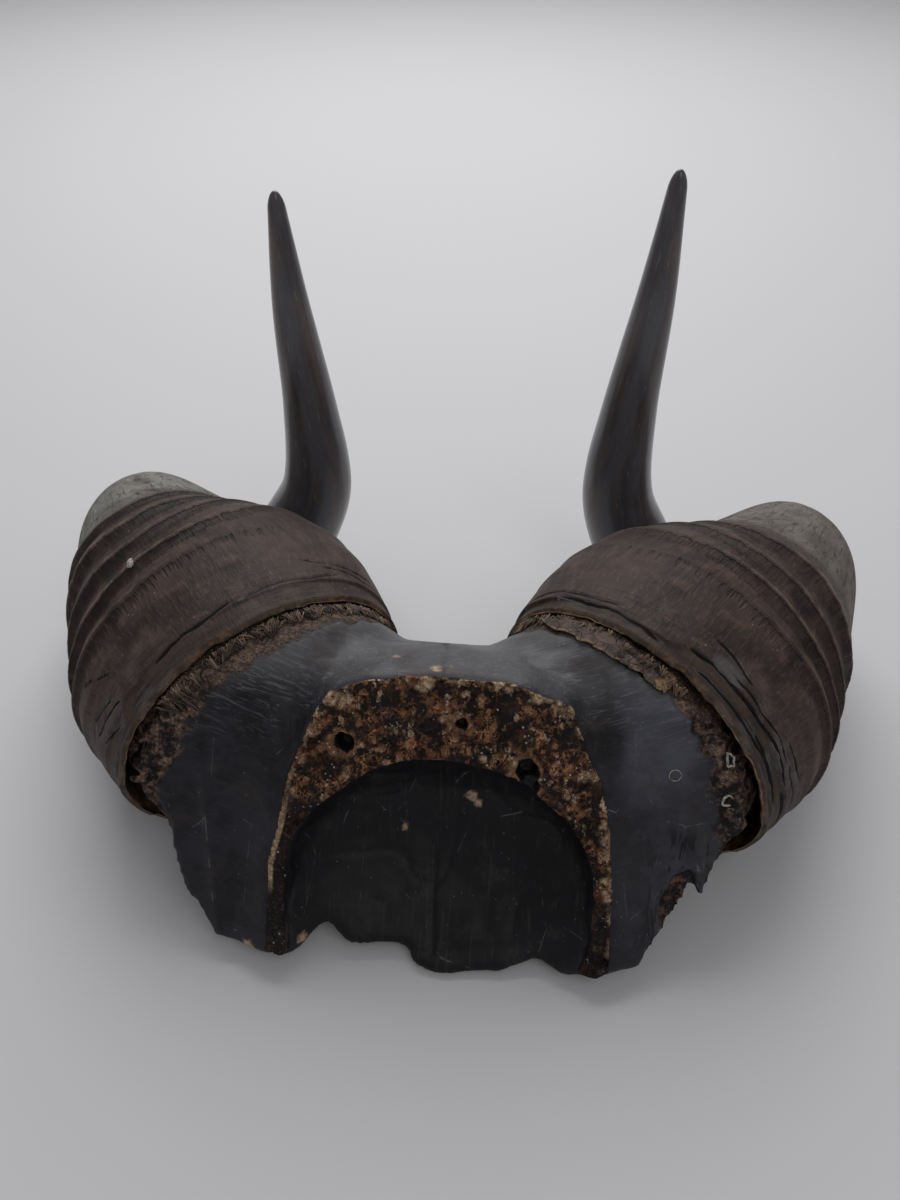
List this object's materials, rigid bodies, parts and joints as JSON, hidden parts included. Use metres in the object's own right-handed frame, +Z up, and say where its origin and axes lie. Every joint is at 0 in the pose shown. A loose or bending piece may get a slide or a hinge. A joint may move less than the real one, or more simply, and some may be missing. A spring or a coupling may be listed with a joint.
{
  "type": "antelope horns",
  "caption": "Antelope horns on their sawn skull plate: ringed, swollen bases that bend at a hump and turn up into smooth tips, with an open braincase hollow.",
  "frame": {"origin": "under the middle of the bounding box, on the table that the horns rest on", "axes": "+X from the left horn to the right one, +Y from the sawn side of the skull towards the tips, +Z up"},
  "size_m": [0.3138, 0.2092, 0.1924],
  "materials": {
    "bone": "dark, dry, stained bone with a spongy sawn band",
    "horn_left": "dark brown keratin, satin at the rings and glossier at the tip",
    "horn_right": "dark brown keratin, satin at the rings and glossier at the tip"
  },
  "bodies": {
    "root": {"skull_plate": "bone", "left_horn_sheath": "horn_left", "right_horn_sheath": "horn_right"}
  },
  "joints": []
}
